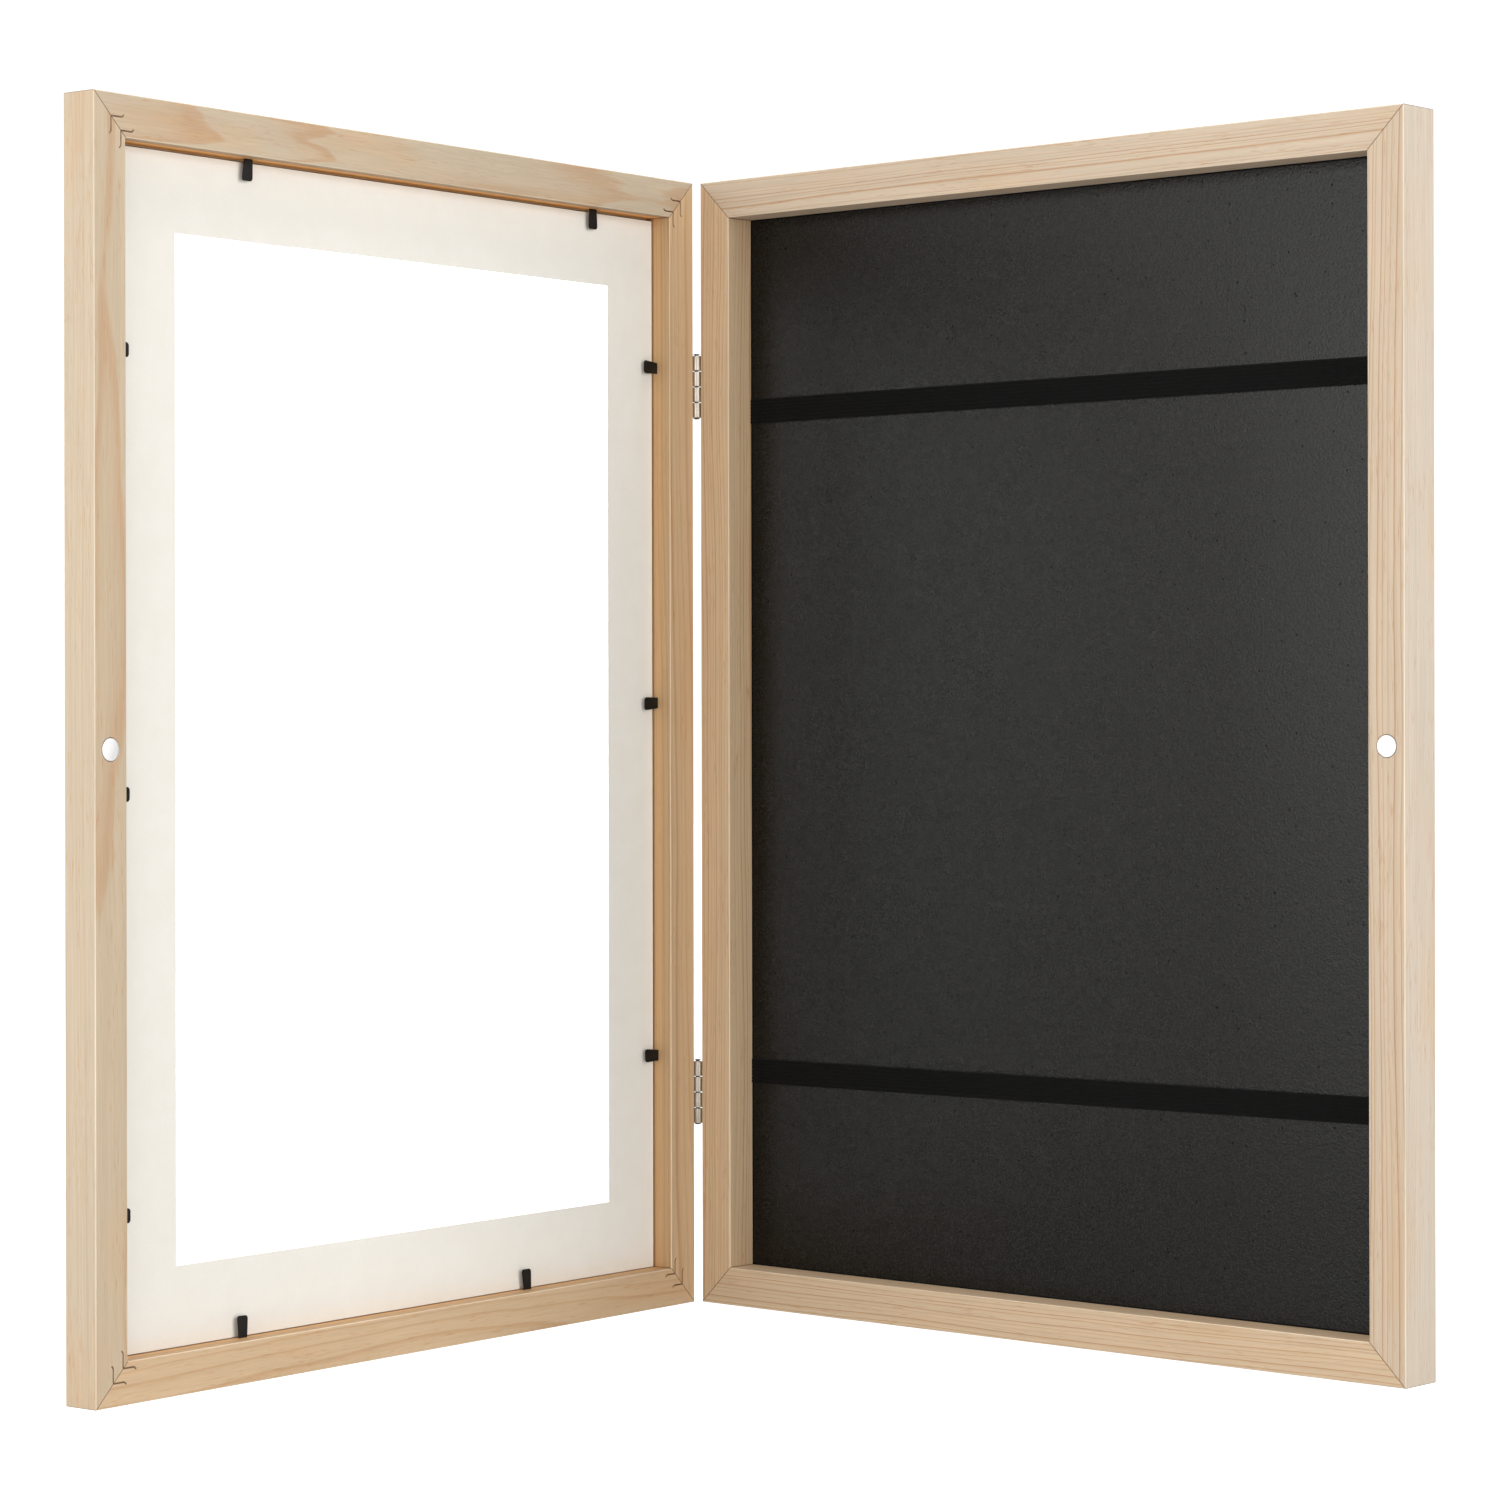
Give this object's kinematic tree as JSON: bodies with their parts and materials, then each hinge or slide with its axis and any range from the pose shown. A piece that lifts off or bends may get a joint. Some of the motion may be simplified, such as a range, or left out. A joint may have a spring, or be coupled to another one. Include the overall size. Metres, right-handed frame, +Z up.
{
  "type": "front-opening art frame",
  "caption": "Front-opening art frame for children's drawings: pine box with dark board and elastic straps, hinged door with clear sheet and mat, shut by magnets.",
  "frame": {"origin": "middle of the underside of the box's bottom rail", "axes": "+X along the width away from the hinges, +Y from the front of the box to the wall, +Z up; the door stands open"},
  "size_m": [0.4406, 0.4499, 0.5715],
  "materials": {
    "box_pine": "matte clear-coated pale pine, fine growth lines along each moulding",
    "door_pine": "matte clear-coated pale pine",
    "board_paper": "charcoal paper-faced fibreboard, faint grain and specks",
    "elastic": "black ribbed elastic",
    "magnet_nickel": "nickel-plated disc magnet",
    "acrylic": "clear sheet",
    "mat_card": "cream mat board",
    "black_plastic": "black flexible points",
    "nail_steel": "dark steel strip",
    "hinge_nickel": "satin nickel plate",
    "zinc": "zinc-plated steel"
  },
  "bodies": {
    "box": {"back_board": "board_paper", "board_point_rail_bottom_1": "zinc", "board_point_rail_top_1": "zinc", "board_point_stile_free_1": "zinc", "board_point_stile_free_2": "zinc", "board_point_stile_hinge_1": "zinc", "board_point_stile_hinge_2": "zinc", "box_magnet": "magnet_nickel", "box_rail_bottom": "box_pine", "box_rail_top": "box_pine", "box_stile_free": "box_pine", "box_stile_hinge": "box_pine", "hanger_nail_left": "zinc", "hanger_nail_right": "zinc", "hinge_lower_box_leaf": "hinge_nickel", "hinge_lower_box_screw_1": "hinge_nickel", "hinge_lower_box_screw_2": "hinge_nickel", "hinge_lower_pin": "hinge_nickel", "hinge_upper_box_leaf": "hinge_nickel", "hinge_upper_box_screw_1": "hinge_nickel", "hinge_upper_box_screw_2": "hinge_nickel", "hinge_upper_pin": "hinge_nickel", "strap_lower": "elastic", "strap_upper": "elastic", "wall_hanger": "zinc"},
    "door": {"clear_sheet": "acrylic", "door_magnet": "magnet_nickel", "door_rail_bottom": "door_pine", "door_rail_top": "door_pine", "door_stile_free": "door_pine", "door_stile_hinge": "door_pine", "hinge_lower_door_leaf": "hinge_nickel", "hinge_lower_door_screw_1": "hinge_nickel", "hinge_lower_door_screw_2": "hinge_nickel", "hinge_upper_door_leaf": "hinge_nickel", "hinge_upper_door_screw_1": "hinge_nickel", "hinge_upper_door_screw_2": "hinge_nickel", "mat_board": "mat_card", "tab_rail_bottom_1": "black_plastic", "tab_rail_bottom_2": "black_plastic", "tab_rail_top_1": "black_plastic", "tab_rail_top_2": "black_plastic", "tab_stile_free_1": "black_plastic", "tab_stile_free_2": "black_plastic", "tab_stile_free_3": "black_plastic", "tab_stile_hinge_1": "black_plastic", "tab_stile_hinge_2": "black_plastic", "tab_stile_hinge_3": "black_plastic", "v_nail_bottom_free_inner": "nail_steel", "v_nail_bottom_free_outer": "nail_steel", "v_nail_bottom_hinge_inner": "nail_steel", "v_nail_bottom_hinge_outer": "nail_steel", "v_nail_top_free_inner": "nail_steel", "v_nail_top_free_outer": "nail_steel", "v_nail_top_hinge_inner": "nail_steel", "v_nail_top_hinge_outer": "nail_steel"}
  },
  "joints": [
    {"name": "door_hinge", "type": "hinge", "parent": "box", "child": "door", "pos_m": [-0.21205, -0.01295, 0.28575], "axis": [0, 0, -1], "range_deg": [-86.3, 93.7]}
  ]
}
